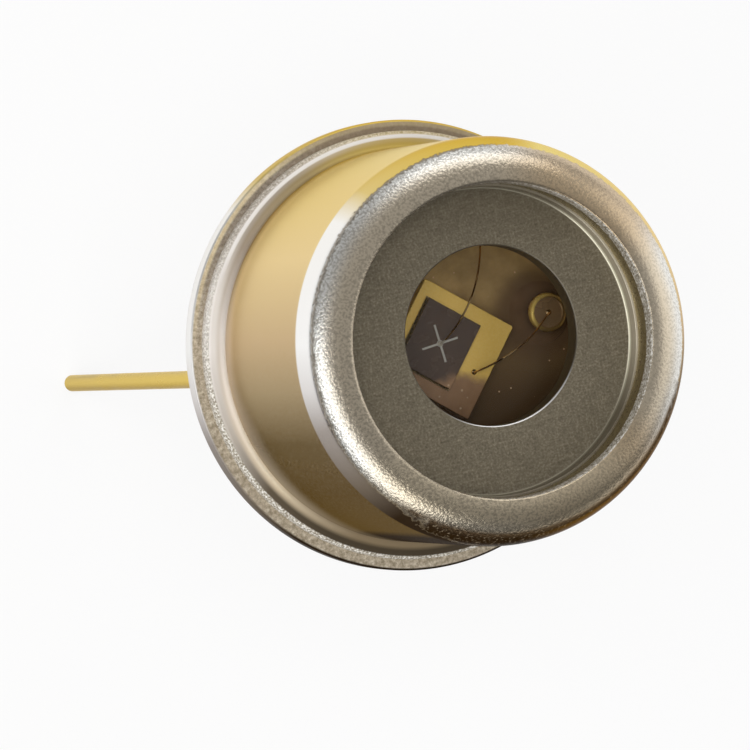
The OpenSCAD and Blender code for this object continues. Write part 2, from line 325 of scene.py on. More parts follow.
header_finish = Finish("header_plating", metallic=1.0, roughness=0.3)
from_axis = header_finish.radius()
upward = header_finish.upward()
inside = header_finish.between(from_axis, platform_r + 0.05, platform_r - 0.03)
# Painted shade: the floor darkens towards the picture's foot, in cloudy patches.
painted_light_towards_head = header_finish.between(header_finish.axis(in_row(0, 1, 0)), -1.2, 2.6)
clouds = header_finish.between(header_finish.noise(0.8, detail=5, rough=0.65), 0.2, 0.7, 0.5, 1)
gold = header_finish.mix(header_finish.times(painted_light_towards_head, clouds), FLOOR_PAINTED_SHADE, FLOOR_GOLD)
# Painted shade: a soft dark halo on the floor around the glass bead.
painted_shade_round_bead = header_finish.between(
    header_finish.radius(lead_x, 0), bead_r + shade_round_bead_w, bead_r + 0.05, 0, 0.85)
gold = header_finish.mix(painted_shade_round_bead, gold, FLOOR_SHADE_ROUND_BEAD)
dust = header_finish.specks(dust_spacing, dust_size, 0.45, seed=3.1)
gold = header_finish.mix(dust, gold, DUST)
fine = header_finish.noise(flange_grain, detail=5, rough=0.75)
nickel = header_finish.ramp(fine, *NICKEL)
# Towards the picture's head the flange is a painted highlight, with painted shade next to the can's
# lip and browner painted shade at the very head.
clear_of_lip = header_finish.between(from_axis, can_flange_r + 0.08, can_flange_r + 0.14)
head_side_painted_light = header_finish.mix(clear_of_lip, LIP_SHADE, FLANGE_PAINTED_HIGHLIGHT)
nickel = header_finish.mix(header_finish.between(upward, -0.1, 0.5, 0, 0.55), nickel, head_side_painted_light)
nickel = header_finish.mix(header_finish.between(upward, 0.75, 0.97, 0, 0.6), nickel, FLANGE_PAINTED_SHADE)
# The flange's rounded outer edge carries the painted reflection around the axis.
edge = header_finish.between(from_axis, flange_r - flange_edge_r, flange_r - 0.4 * flange_edge_r)
nickel = header_finish.mix(edge, nickel, header_finish.around(*PAINTED_REFLECTION))
header_finish.colour(header_finish.mix(inside, nickel, gold))
header_finish.set("Roughness", header_finish.between(inside, 0, 1, 0.36, 0.2))
header_finish.set("Metallic", header_finish.between(edge, 0, 1, 0.4, 1))
header_finish.set("Specular IOR Level", 0.2)
header_finish.relief(header_finish.times(fine, flange_grain_h))

bm = bmesh.new()
header_outline = [
    (bead_r, 0), (bead_r, platform_h), (platform_r, platform_h), (platform_r, flange_t),
    (flange_r, flange_t), (flange_r, 0)]
turned(bm, header_outline, closed=True)
move_ring(bm, bead_r, lead_x)

tab_way = Vector((math.cos(tab_turn), math.sin(tab_turn), 0))
tab_side = Vector((-tab_way.y, tab_way.x, 0))
tab_faces = [
    face for face in bm.faces
    if abs(face.calc_center_median().xy.length - flange_r * MM) < 0.01 * MM
    and face.calc_center_median().dot(tab_way) > 0
    and abs(face.calc_center_median().dot(tab_side)) < tab_w * MM / 2
]
pushed = bmesh.ops.extrude_face_region(bm, geom=tab_faces)["geom"]
bmesh.ops.delete(bm, geom=tab_faces, context="FACES_ONLY")
for vert in [item for item in pushed if isinstance(item, bmesh.types.BMVert)]:
    vert.co += tab_way * ((flange_r + tab_l) * MM - vert.co.dot(tab_way))
round_off(bm, ring_at(bm, platform_r, platform_h), platform_edge_r, 4)
flange_edges = ring_at(bm, flange_r, flange_t) + ring_at(bm, flange_r, 0)
round_off(bm, flange_edges, flange_edge_r, 4)
finish_piece(bm, "header_base", header_finish.material, "header")

# Glass seal
# Ring of brown sealing glass, melted into the header's hole around the signal lead.
# Its face is fired smooth, with faint cloudy streaks.


def dress(node, finish):
    """Gives a node of the part its finish."""
    for place in frame["nodes"][node].material_slots:
        place.material = finish.material


BEAD_DARK = (0.09, 0.05, 0.024)
BEAD_BROWN = (0.18, 0.11, 0.058)

bead_finish = Finish("bead_glass", metallic=0.0, roughness=0.12)
streaks = bead_finish.noise(0.3, detail=4)
bead_finish.set("Base Color", bead_finish.mix(streaks, BEAD_DARK, BEAD_BROWN))
dress("glass_bead", bead_finish)

# Leads
# Two straight nickel-iron wires plated with gold. The signal lead goes up through the glass
# to a coined and dished head, and the case lead is butt-welded under the header.
LEAD_STEPS = 48
lead_r = mounts["lead_pair"]["dims"]["stud_r_mm"]
lead_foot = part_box("case_lead")[0].z / MM
lead_tip_r = 0.08
post_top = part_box("signal_lead")[1].z / MM
post_r = (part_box("signal_lead")[1].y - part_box("signal_lead")[0].y) / MM / 2
post_t = 0.22
post_rim_w = 0.08
post_dish = 0.05
weld_r = (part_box("case_lead")[1].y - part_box("case_lead")[0].y) / MM / 2
weld_h = 0.16
weld_edge_r = 0.1
LEAD_GOLD = (0.74, 0.58, 0.2)
LEAD_PALE = (0.88, 0.71, 0.29)
LEAD_SHADED = (0.46, 0.31, 0.02)
# Painted light on the signal post's head: a painted highlight, painted shade and a shaded dish.
POST_PAINTED_SHADE = (0.3, 0.19, 0.06)
POST_PAINTED_HIGHLIGHT = (1.0, 0.72, 0.2)
DISH_PAINTED_SHADE = (0.4, 0.26, 0.13)

lead_finish = Finish("lead_gold", metallic=1.0, roughness=0.25)
lead_height = lead_finish.axis((0, 0, 1))
patches = lead_finish.noise(0.5, detail=2, stretch=(1, 1, 0.3))
gold = lead_finish.mix(patches, LEAD_GOLD, LEAD_PALE)
pin_way = in_row(0, -1, 0)
pin_middle = -lead_x * pin_way.x
shaded = lead_finish.between(lead_finish.axis(pin_way), pin_middle, pin_middle + lead_r, 0, 0.7)
gold = lead_finish.mix(shaded, gold, LEAD_SHADED)
# Painted light on the post's head: a painted highlight on the rim's side towards the picture's left,
# painted shade on the rest of the rim and in the dish.
post_lit_way = in_row(-0.95, 0.3, 0)
post_middle = lead_x * post_lit_way.x
towards = lead_finish.between(
    lead_finish.axis(post_lit_way), post_middle - 0.1 * post_r, post_middle + 0.9 * post_r)
rim_painted_light = lead_finish.mix(towards, POST_PAINTED_SHADE, POST_PAINTED_HIGHLIGHT)
dished = lead_finish.between(
    lead_finish.radius(lead_x, 0), post_r - 0.8 * post_rim_w, post_r - 1.3 * post_rim_w)
head = lead_finish.mix(dished, rim_painted_light, DISH_PAINTED_SHADE)
in_can = lead_finish.between(lead_height, platform_h, platform_h + 0.1)
lead_finish.colour(lead_finish.mix(in_can, gold, head), whitens=(0.4, 0.36, 0.25))
lead_finish.set("Roughness", lead_finish.between(patches, 0.2, 0.8, 0.18, 0.3))
lead_finish.set("Metallic", lead_finish.between(lead_height, flange_t, platform_h, 1, 0.55))

bm = bmesh.new()
post_outline = [
    (0, lead_foot), (lead_r, lead_foot), (lead_r, post_top - post_t), (post_r, post_top - post_t),
    (post_r, post_top), (post_r - post_rim_w, post_top),
    (post_r - post_rim_w, post_top - post_dish), (0, post_top - post_dish)]
turned(bm, post_outline, lead_x, steps=LEAD_STEPS)
round_off(bm, ring_at(bm, lead_r, lead_foot, lead_x), lead_tip_r, 4)
round_off(bm, ring_at(bm, post_r, post_top - post_t, lead_x), post_rim_w, 4)
round_off(bm, ring_at(bm, post_r, post_top, lead_x), 0.7 * post_rim_w, 4)
round_off(bm, ring_at(bm, post_r - post_rim_w, post_top - post_dish, lead_x), 0.8 * post_dish, 4)
finish_piece(bm, "signal_post", lead_finish.material, "signal_lead")

bm = bmesh.new()
pin_outline = [(0, lead_foot), (lead_r, lead_foot), (lead_r, -weld_h), (weld_r, 0), (0, 0)]
turned(bm, pin_outline, -lead_x, steps=LEAD_STEPS)
round_off(bm, ring_at(bm, lead_r, lead_foot, -lead_x), lead_tip_r, 4)
round_off(bm, ring_at(bm, lead_r, -weld_h, -lead_x), weld_edge_r, 4)
finish_piece(bm, "case_pin", lead_finish.material, "case_lead")

# Carrier
# Square ceramic block under the chip, plated all over with soft matt gold and soldered
# to the header's floor. One corner is browner, with a few pale grains.
die_turn = math.radians(-42)
carrier_w = 2.1
carrier_edge_r = 0.04
carrier_grain_h = 0.0012
solder_skin_h = 0.004
CORNER_BROWN = (0.28, 0.165, 0.088)
CORNER_BROWN_PALE = (0.42, 0.2475, 0.132)
CORNER_GRAIN = (0.6, 0.42, 0.25)
SOLDER_DARK = (0.24, 0.17, 0.08)
SOLDER_PALE = (0.46, 0.36, 0.2)
CARRIER_GOLD = (0.88, 0.56, 0.12)
CARRIER_PALE = (0.98, 0.7, 0.2)


def block(bm, node, width, length):
    """A block as high as a node, centred on it and turned as the chip is."""
    low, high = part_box(node)
    made = bmesh.ops.create_cube(bm, size=1)["verts"]
    bmesh.ops.scale(bm, verts=made, vec=(width * MM, length * MM, high.z - low.z))
    bmesh.ops.rotate(bm, verts=made, matrix=Matrix.Rotation(die_turn, 3, "Z"))
    bmesh.ops.translate(bm, verts=made, vec=(low + high) / 2)


def with_brown_corner(finish, colour, way, reach):
    """Browner colour on the part of a face that lies beyond this reach, with a few pale grains."""
    ragged = finish.times(finish.noise(0.25, detail=4), 0.3)
    edge = finish.math("ADD", finish.axis(way), ragged)
    cover = finish.between(edge, reach + 0.03, reach + 0.27)
    grains = finish.times(cover, finish.specks(0.16, 0.03, 0.3, seed=1.7))
    brown = finish.mix(finish.noise(0.2, detail=3, seed=5.0), CORNER_BROWN, CORNER_BROWN_PALE)
    return finish.mix(grains, finish.mix(cover, colour, brown), CORNER_GRAIN)


solder_finish = Finish("solder", metallic=1.0, roughness=0.3)
skin = solder_finish.noise(0.12, detail=3)
solder_finish.set("Base Color", solder_finish.mix(skin, SOLDER_DARK, SOLDER_PALE))
solder_finish.set("Roughness", solder_finish.between(skin, 0.2, 0.8, 0.2, 0.38))
solder_finish.relief(solder_finish.times(skin, solder_skin_h))
dress("carrier_solder", solder_finish)

carrier_finish = Finish("carrier_gold", metallic=0.22, roughness=0.2)
matt = carrier_finish.noise(0.04, detail=3)
gold = carrier_finish.mix(matt, CARRIER_GOLD, CARRIER_PALE)
carrier_finish.set("Base Color", with_brown_corner(carrier_finish, gold, (-0.45, -0.89, 0), 0.5))
carrier_finish.relief(carrier_finish.times(matt, carrier_grain_h))

bm = bmesh.new()
block(bm, "carrier", carrier_w, carrier_w)
upright = [edge for edge in bm.edges if abs(edge.verts[0].co.z - edge.verts[1].co.z) > 0.1 * MM]
round_off(bm, upright, carrier_edge_r, 4)
top_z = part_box("carrier")[1].z
rim = [edge for edge in bm.edges if all(abs(vert.co.z - top_z) < CLOSE for vert in edge.verts)]
round_off(bm, rim, carrier_edge_r / 2, 3)
finish_piece(bm, "carrier_block", carrier_finish.material, "carrier")

# Chip
# Sawn photodiode die, dark brown under its clear coat, soldered to the carrier.
# A thin evaporated metal cross lies on it, with a pad in the middle for the bond wire.
chip_w = 1.22
chip_l = 1.43
chip_edge_r = 0.008
contact_turn = math.radians(45)
contact_arm = 0.39
contact_w = 0.04
contact_pad = 0.13
CHIP_BROWN = (0.07, 0.046, 0.034)
CHIP_HAZE = (0.125, 0.084, 0.058)
CONTACT_GREY = (0.52, 0.5, 0.44)
CONTACT_PALE = (0.74, 0.72, 0.64)

dress("chip_solder", solder_finish)

chip_finish = Finish("chip_die", metallic=0.0, roughness=0.22)
haze = chip_finish.noise(0.35, detail=4)
brown = chip_finish.mix(haze, CHIP_BROWN, CHIP_HAZE)
chip_finish.set("Base Color", with_brown_corner(chip_finish, brown, (0, -1, 0), 0.72))
chip_finish.set("Roughness", chip_finish.between(haze, 0.2, 0.8, 0.16, 0.34))

bm = bmesh.new()
block(bm, "chip", chip_w, chip_l)
round_off(bm, bm.edges[:], chip_edge_r, 2)
finish_piece(bm, "chip_die", chip_finish.material, "chip")

contact_finish = Finish("contact_metal", metallic=0.6, roughness=0.35)
grain = contact_finish.noise(0.02)
contact_finish.set("Base Color", contact_finish.mix(grain, CONTACT_GREY, CONTACT_PALE))

bm = bmesh.new()
low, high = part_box("chip_contact")
half = contact_w / 2
corner = contact_pad / math.sqrt(2) - half
outline = []
for quarter in range(4):
    turn = Matrix.Rotation(die_turn + contact_turn + quarter * math.pi / 2, 3, "Z")
    for along, across in ((corner, -half), (contact_arm, -half), (contact_arm, half), (corner, half)):
        outline.append(bm.verts.new(turn @ Vector((along, across, 0)) * MM + Vector((0, 0, low.z))))
cross = bm.faces.new(outline)
raised = bmesh.ops.extrude_face_region(bm, geom=[cross])["geom"]
raised_verts = [item for item in raised if isinstance(item, bmesh.types.BMVert)]
bmesh.ops.translate(bm, verts=raised_verts, vec=(0, 0, high.z - low.z))
finish_piece(bm, "chip_cross", contact_finish.material, "chip_contact")

# Bond wires
# Two fine gold wires, pressed flat at both ends: one from the pad on the chip to the header's
# floor, one from the carrier to the post. Each rises in a skewed loop.
WIRE_SIDES = 16
WIRE_RINGS = 48
WIRE_LOOK = 0.2 / WIRE_RINGS
wire_r = 0.02
foot_r = 0.055
foot_h = 0.03
neck_h = 0.02
loop_rise = 0.8
loop_skew = 0.75
ground_way = math.radians(51)
ground_inset = 0.74
ground_r = platform_r - ground_inset
carrier_shift = 0.23
carrier_foot_inset = 0.33
carrier_foot_slide = 0.15
WIRE_GOLD = (0.6, 0.43, 0.21)
WIRE_PALE = (0.8, 0.58, 0.3)
PRESSED_GOLD = (0.62, 0.56, 0.45)


def bond_wire(bm, start, end):
    """A wire from one pressed foot over its loop to the other."""
    up = Vector((0, 0, 1))
    rise = up * (foot_h + neck_h)
    drop = start.z - end.z

    def loop(share):
        lift = loop_rise * math.sin(math.pi * share ** loop_skew) - drop * share * share
        return Vector((*start.lerp(end, share).xy, start.z + lift)) + rise

    stations = [(start + up * foot_h, up, foot_r), (start + rise, up, wire_r)]
    for number in range(1, WIRE_RINGS):
        share = number / WIRE_RINGS
        way = loop(share + WIRE_LOOK) - loop(share - WIRE_LOOK)
        stations.append((loop(share), way.normalized(), wire_r))
    stations += [(end + rise, -up, wire_r), (end + up * foot_h, -up, foot_r), (end, -up, foot_r)]

    made = bmesh.ops.create_circle(bm, segments=WIRE_SIDES, radius=foot_r * MM)
    bmesh.ops.translate(bm, verts=made["verts"], vec=start * MM)
    ring = bm.edges[:]
    bmesh.ops.edgeloop_fill(bm, edges=ring)
    place, way, radius = start, up, foot_r
    for next_place, next_way, next_radius in stations:
        made = bmesh.ops.extrude_edge_only(bm, edges=ring)["geom"]
        verts = [item for item in made if isinstance(item, bmesh.types.BMVert)]
        ring = [item for item in made if isinstance(item, bmesh.types.BMEdge)]
        wider = Matrix.Scale(next_radius / radius, 3)
        swing = way.rotation_difference(next_way).to_matrix()
        for vert in verts:
            vert.co = swing @ wider @ (vert.co - place * MM) + next_place * MM
        place, way, radius = next_place, next_way, next_radius
    bmesh.ops.edgeloop_fill(bm, edges=ring)


wire_finish = Finish("wire_gold", metallic=1.0, roughness=0.08)
drawn = wire_finish.noise(0.1)
gold = wire_finish.mix(drawn, WIRE_GOLD, WIRE_PALE)
pressed = wire_finish.between(wire_finish.radius(), 1.6 * foot_r, foot_r)
wire_finish.set("Base Color", wire_finish.mix(pressed, gold, PRESSED_GOLD))
wire_finish.set("Metallic", wire_finish.between(pressed, 0, 1, 1, 0.3))

pad = Vector((0, 0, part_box("chip_contact")[1].z / MM))
ground = Vector((ground_r * math.cos(ground_way), ground_r * math.sin(ground_way), platform_h))
carrier_end = carrier_shift + carrier_w / 2 - carrier_foot_inset
foot_turn = Matrix.Rotation(die_turn, 3, "Z")
carrier_foot = foot_turn @ Vector((carrier_end, -carrier_foot_slide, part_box("carrier")[1].z / MM))
post_dish_middle = Vector((lead_x, 0, post_top - post_dish))
for name, node, start, end in (
        ("chip_bond", "chip_wire", pad, ground),
        ("carrier_bond", "carrier_wire", carrier_foot, post_dish_middle)):
    bm = bmesh.new()
    bond_wire(bm, start, end)
    finish_piece(bm, name, wire_finish.material, node)

# Can
# Deep-drawn cap of thin nickel-plated steel, resistance welded to the header by its flange.
# The stretched shoulder has an orange-peel grain, and flange and opening have sheared edges.
can_r = mounts["can_wall"]["dims"]["r_mm"]
can_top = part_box("cap")[1].z / MM
can_t = 0.3
can_fillet_r = 0.1
can_edge_r = 0.12
can_inner_r = can_r - can_t
shoulder_r = 0.87
shoulder_inner_r = 0.45
opening_r = 3.05
opening_edge_r = 0.08
band_foot = can_top - shoulder_r + 0.1
peel_foot = can_top - 0.385 * shoulder_r
flange_top = flange_t + can_t
peel_size = 0.05
peel_h = 0.01
foot_shade_peel_h = 0.016
torn_size = 0.045
torn_h = 0.014
# Colours around the axis: the wall's gold tone with painted reflection and painted shade, then painted
# light on the can's flange and fillet.
WALL_TONE_AND_PAINTED_LIGHT = (
    (-0.95, PAINTED_SHADE), (-0.92, (0.135, 0.08, 0.02)), (-0.72, (0.115, 0.066, 0.014)),
    (-0.48, (0.15, 0.097, 0.034)), (-0.22, (0.43, 0.33, 0.19)), (0.03, (0.64, 0.48, 0.28)),
    (0.43, (0.86, 0.68, 0.36)), (0.78, (0.86, 0.68, 0.28)), (0.97, (0.86, 0.7, 0.25)),
    (1.0, (0.7, 0.46, 0.06)))
CAN_FLANGE_PAINTED_LIGHT = (
    (-0.9, (0.09, 0.07, 0.046)), (-0.68, (0.15, 0.12, 0.085)), (-0.4, (0.66, 0.6, 0.53)),
    (0.0, (0.95, 0.91, 0.87)), (0.25, (0.9, 0.86, 0.82)), (0.55, (0.5, 0.45, 0.4)),
    (0.8, (0.45, 0.39, 0.33)), (0.93, (0.6, 0.5, 0.36)), (1.0, (0.6, 0.46, 0.2)))
FILLET_PAINTED_LIGHT = (
    (-0.95, (0.3, 0.23, 0.14)), (-0.68, (0.74, 0.63, 0.46)), (-0.3, (0.82, 0.73, 0.62)),
    (0.1, (0.74, 0.68, 0.62)), (0.5, (0.4, 0.33, 0.26)), (0.85, (0.4, 0.31, 0.16)),
    (1.0, (0.6, 0.44, 0.12)))
# Torn edges, with painted glints.
TORN_GLINT = ((0.36, (0.3, 0.26, 0.2)), (0.5, (0.58, 0.53, 0.44)), (0.62, (0.95, 0.92, 0.86)))
SPARKLE = (0.8, 0.75, 0.62)
SILVER = (0.9, 0.89, 0.85)
CREST = (0.72, 0.625, 0.48)
# Painted reflections on the shoulder's grain, tan on the picture's right and warm at its foot.
TAN_PAINTED_REFLECTION = (0.66, 0.49, 0.3)
WARM_PAINTED_REFLECTION = (0.95, 0.81, 0.58)
PIT = (0.3, 0.26, 0.2)
# Painted shade on the shoulder towards the picture's foot, with painted glints on its grain.
PAINTED_SHADE_PALE = (0.15, 0.1, 0.055)
PAINTED_SHADE_GLINT = (0.52, 0.42, 0.28)
LOWER_RIGHT_BROWN = (0.2, 0.105, 0.025)
PEEL_BORDER = (0.17, 0.13, 0.08)
FLANGE_GLINT = (0.95, 0.93, 0.92)
# Painted shade on the opening's rim.
RIM_PAINTED_SHADE = (0.34, 0.29, 0.22)
PUNCHED = (0.85, 0.76, 0.6)

can_finish = Finish("can_nickel", metallic=1.0, roughness=0.3)
height = can_finish.axis((0, 0, 1))
from_axis = can_finish.radius()
upward = can_finish.upward()
rightward = can_finish.axis(in_row(1, 0, 0))
wall_tone_and_painted_light = can_finish.around(*WALL_TONE_AND_PAINTED_LIGHT)
fillet_painted_light = can_finish.around(*FILLET_PAINTED_LIGHT)

# The wall is satin: its gold tone shifts around the axis in painted reflection and darkens to painted
# shade towards the picture's foot, with painted sparkle. A band under the shoulder that the drawing
# die has burnished carries a painted reflection on the picture's left.
speckle = can_finish.noise(0.05, detail=3, seed=2.0)
sparkle = can_finish.between(
    speckle, 0.35, 0.8, 0, can_finish.between(upward, -0.95, -0.5, 0.02, 0.1))
wall = can_finish.mix(sparkle, wall_tone_and_painted_light, SPARKLE)
leftward = can_finish.between(rightward, 0.6, -0.6)
burnished_reflection = can_finish.times(
    can_finish.between(height, band_foot - 0.04, band_foot + 0.04), leftward)
wall = can_finish.mix(burnished_reflection, wall, can_finish.around(*PAINTED_REFLECTION))

# The shoulder's grain starts at a jagged border, which painted shade hides at the foot of the picture,
# with painted glints on the grain there.
peel = can_finish.noise(peel_size, detail=3)
wisps = can_finish.between(can_finish.noise(0.3, detail=4, seed=8.0), 0.3, 0.7, -0.08, 0.08)
shade_way = can_finish.math("DIVIDE", can_finish.axis(in_row(0.35, -0.94, 0)), from_axis)
shade_way = can_finish.math("ADD", shade_way, wisps)
lower = can_finish.between(shade_way, 0.6, 0.85, 0, 0.4)
teeth = can_finish.times(can_finish.noise(0.07, seed=9.0), 0.12)
jagged = can_finish.math("ADD", can_finish.math("ADD", height, teeth), lower)
peeled = can_finish.between(jagged, peel_foot + 0.05, peel_foot + 0.09)
crest = can_finish.between(height, peel_foot + 0.1, can_top - 0.02)
silver = can_finish.mix(crest, SILVER, CREST)
# Painted reflections: the grain is tinted tan on the picture's right and warm towards its foot.
off_middle = can_finish.between(can_finish.math("ABSOLUTE", upward), 0.35, 0.7, 0, 0.8)
right_painted_reflection = can_finish.times(can_finish.between(rightward, -0.3, 1.2), off_middle)
silver = can_finish.mix(right_painted_reflection, silver, TAN_PAINTED_REFLECTION)
silver = can_finish.mix(can_finish.between(upward, -0.55, -0.85, 0, 0.7), silver, WARM_PAINTED_REFLECTION)
pit_depth = can_finish.between(rightward, -0.5, 2.5, 0.45, 0.28)
silver = can_finish.mix(can_finish.between(peel, 0.58, 0.36, 0, pit_depth), silver, PIT)
foot_shade = can_finish.times(
    can_finish.between(shade_way, 0.45, 0.75),
    can_finish.between(height, can_top - 0.15, can_top - 0.28))
shade_lifting = can_finish.between(height, peel_foot - 0.05, peel_foot + 0.12)
shoulder_shade = can_finish.mix(shade_lifting, PAINTED_SHADE, PAINTED_SHADE_PALE)
shoulder_shade = can_finish.mix(can_finish.between(peel, 0.56, 0.7, 0, 0.4), shoulder_shade, PAINTED_SHADE_GLINT)
silver = can_finish.mix(foot_shade, silver, shoulder_shade)
metal = can_finish.mix(peeled, wall, silver)
# Browner just below the grain towards the picture's lower right.
lower_right_brown = can_finish.times(
    can_finish.between(rightward, 0.3, 2.0), can_finish.between(upward, 0.1, -0.3, 0, 0.85))
below_peel = can_finish.between(height, peel_foot + 0.02, peel_foot - 0.06)
metal = can_finish.mix(can_finish.times(lower_right_brown, below_peel), metal, LOWER_RIGHT_BROWN)
border = can_finish.times(
    can_finish.between(jagged, peel_foot + 0.04, peel_foot + 0.06),
    can_finish.between(jagged, peel_foot + 0.13, peel_foot + 0.09, 0, 0.7))
metal = can_finish.mix(can_finish.times(border, leftward), metal, PEEL_BORDER)

# The flange and the fillet at the wall's foot carry painted light around the axis, with a painted
# glint line on the flange towards the picture's head; the wall's foot blends into a painted reflection
# of them.
foot = can_finish.between(height, flange_top + 2 * can_fillet_r, flange_top + can_fillet_r)
fillet = can_finish.between(from_axis, can_r + 0.2, can_r + 0.08)
bottom = can_finish.mix(fillet, can_finish.around(*CAN_FLANGE_PAINTED_LIGHT), fillet_painted_light)
off_line = can_finish.math("ABSOLUTE", can_finish.math("SUBTRACT", from_axis, can_r + 0.25))
glint = can_finish.times(
    can_finish.between(off_line, 0.06, 0.02), can_finish.between(upward, 0.2, 0.5))
bottom = can_finish.mix(glint, bottom, FLANGE_GLINT)
fade_low = can_finish.between(upward, -0.1, -0.45, flange_top + 0.8, flange_top + 1.35)
fade_top = can_finish.between(upward, 0.1, 0.5, fade_low, flange_top + 0.35)
painted_foot_reflection = can_finish.between(height, fade_top, flange_top + can_fillet_r, 0, 0.75)
metal = can_finish.mix(painted_foot_reflection, metal, can_finish.mix(0.72, wall_tone_and_painted_light, fillet_painted_light))
metal = can_finish.mix(foot, metal, bottom)

# The sheared edges of opening and flange are torn, with painted glints that grow towards the picture's
# right and foot, and painted shade on the opening's rim towards its left. The top is bright
# underneath.
rim_painted_shade = can_finish.times(
    can_finish.between(from_axis, opening_r + 0.075, opening_r + 0.04),
    can_finish.between(rightward, 2.2, 0.5, 0, 0.6))
metal = can_finish.mix(rim_painted_shade, metal, RIM_PAINTED_SHADE)
torn_rim_glint = can_finish.times(
    can_finish.between(from_axis, opening_r + 0.035, opening_r + 0.02),
    can_finish.between(rightward, -1.0, 2.2, 0.35, 1))
torn_flange_glint = can_finish.times(
    can_finish.between(from_axis, can_flange_r - 0.08, can_flange_r - 0.05),
    can_finish.between(upward, 0.3, -0.4, 0.45, 1))
underneath = can_finish.times(
    can_finish.between(from_axis, can_inner_r + 0.03, can_inner_r + 0.01),
    can_finish.between(height, can_top - 0.28, can_top - can_t))
metal = can_finish.mix(underneath, metal, PUNCHED)
torn_glint = can_finish.math("ADD", torn_rim_glint, torn_flange_glint)
ragged = can_finish.noise(torn_size, detail=2, seed=4.0)
can_finish.colour(can_finish.mix(torn_glint, metal, can_finish.ramp(ragged, *TORN_GLINT)))

# The painted shade towards the picture's foot is hardly metallic, so that nothing mirrored lifts it.
outside_shade = can_finish.between(upward, -0.95, -0.2, 0.1, can_finish.between(foot, 0, 1, 1, 0.25))
bare = can_finish.math("MAXIMUM", peeled, outside_shade)
can_finish.set("Metallic", can_finish.times(bare, can_finish.between(torn_glint, 0, 1, 1, 0.4)))
can_finish.set("Specular IOR Level", 0.0)
smooth = can_finish.between(burnished_reflection, 0, 1, can_finish.between(foot, 0, 1, 0.26, 0.4), 0.14)
can_finish.set("Roughness", can_finish.between(peeled, 0, 1, smooth, 0.26))
grain = can_finish.times(peel, can_finish.between(foot_shade, 0, 1, peel_h, foot_shade_peel_h))
grain = can_finish.times(grain, can_finish.between(rightward, -1, 2.5, 1, 0.5))
grain = can_finish.times(grain, peeled)
tears = can_finish.times(ragged, can_finish.times(torn_glint, torn_h))
can_finish.relief(can_finish.math("ADD", grain, tears))

bm = bmesh.new()
can_outline = [
    (can_flange_r, flange_t), (can_flange_r, flange_top), (can_r, flange_top),
    (can_r, can_top), (opening_r, can_top), (opening_r, can_top - can_t),
    (can_inner_r, can_top - can_t), (can_inner_r, flange_t)]
turned(bm, can_outline, closed=True)
round_off(bm, ring_at(bm, can_r, can_top), shoulder_r, 24)
round_off(bm, ring_at(bm, opening_r, can_top), opening_edge_r, 6)
round_off(bm, ring_at(bm, can_inner_r, can_top - can_t), shoulder_inner_r, 8)
round_off(bm, ring_at(bm, can_r, flange_top), can_fillet_r, 6)
round_off(bm, ring_at(bm, can_inner_r, flange_t), can_fillet_r + can_t, 8)
round_off(bm, ring_at(bm, can_flange_r, flange_top), can_edge_r, 6)
finish_piece(bm, "can_shell", can_finish.material, "cap")

# Disc seal
# Ring of dull solder between the can's top and the rim of the aperture disc.
# It stays back behind the opening, in its shade.
seal_low, seal_high = (corner.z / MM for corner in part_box("disc_seal"))
seal_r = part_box("disc_seal")[1].x / MM
seal_inset = 0.02
ring_skin_h = 0.006
RING_DARK = (0.38, 0.32, 0.18)
RING_PALE = (0.6, 0.51, 0.3)

ring_finish = Finish("seal_ring", metallic=1.0, roughness=0.3)
skin = ring_finish.noise(0.1, detail=3)
ring_finish.set("Base Color", ring_finish.mix(skin, RING_DARK, RING_PALE))
ring_finish.set("Roughness", ring_finish.between(skin, 0.2, 0.8, 0.22, 0.4))
ring_finish.relief(ring_finish.times(skin, ring_skin_h))

bm = bmesh.new()
seal_bore = opening_r + seal_inset
seal_outline = [
    (seal_r, seal_low), (seal_r, seal_high), (seal_bore, seal_high), (seal_bore, seal_low)]
turned(bm, seal_outline, closed=True)
finish_piece(bm, "solder_ring", ring_finish.material, "disc_seal")

# Aperture disc
# Turned metal disc with a raised rim, a matt grey tumbled face and the light opening, which lies
# a little off the axis. The opening's edge is broken, with a painted highlight towards the picture's
# foot.
disc_low, disc_rim_top = (corner.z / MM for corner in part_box("aperture_disc"))
disc_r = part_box("aperture_disc")[1].x / MM
disc_rim_h = 0.35
disc_face = disc_rim_top - disc_rim_h
disc_rim_inset = 0.03
disc_rim_r = opening_r - disc_rim_inset
disc_rim_edge_r = 0.02
disc_rim_fillet_r = 0.06
aperture_r = 1.77
aperture_x = 0.16
aperture_y = 0.08
aperture_edge_r = 0.03
tumbled_h = 0.006
polished_h = 0.001
MATT = (
    (0.34, (0.1, 0.082, 0.053)), (0.52, (0.18, 0.153, 0.105)), (0.7, (0.31, 0.27, 0.194)))
MATT_SHADED = (0.09, 0.072, 0.045)
RIM_GREY = (0.5, 0.44, 0.33)
RIM_PALE = (0.8, 0.73, 0.58)
RIM_SHADED = (0.13, 0.105, 0.068)
RIM_GLINT = (1.0, 0.96, 0.76)
RIM_FOOT_SHADED = (0.14, 0.115, 0.075)
# Painted shade and a painted highlight on the opening's edge, and painted shade in its bore.
HAIRLINE_PAINTED_SHADE = (0.14, 0.12, 0.09)
HAIRLINE_PAINTED_HIGHLIGHT = (1, 1, 1)
BORE_PAINTED_SHADE = (0.06, 0.042, 0.022)
DISC_BACK = (0.85, 0.76, 0.6)

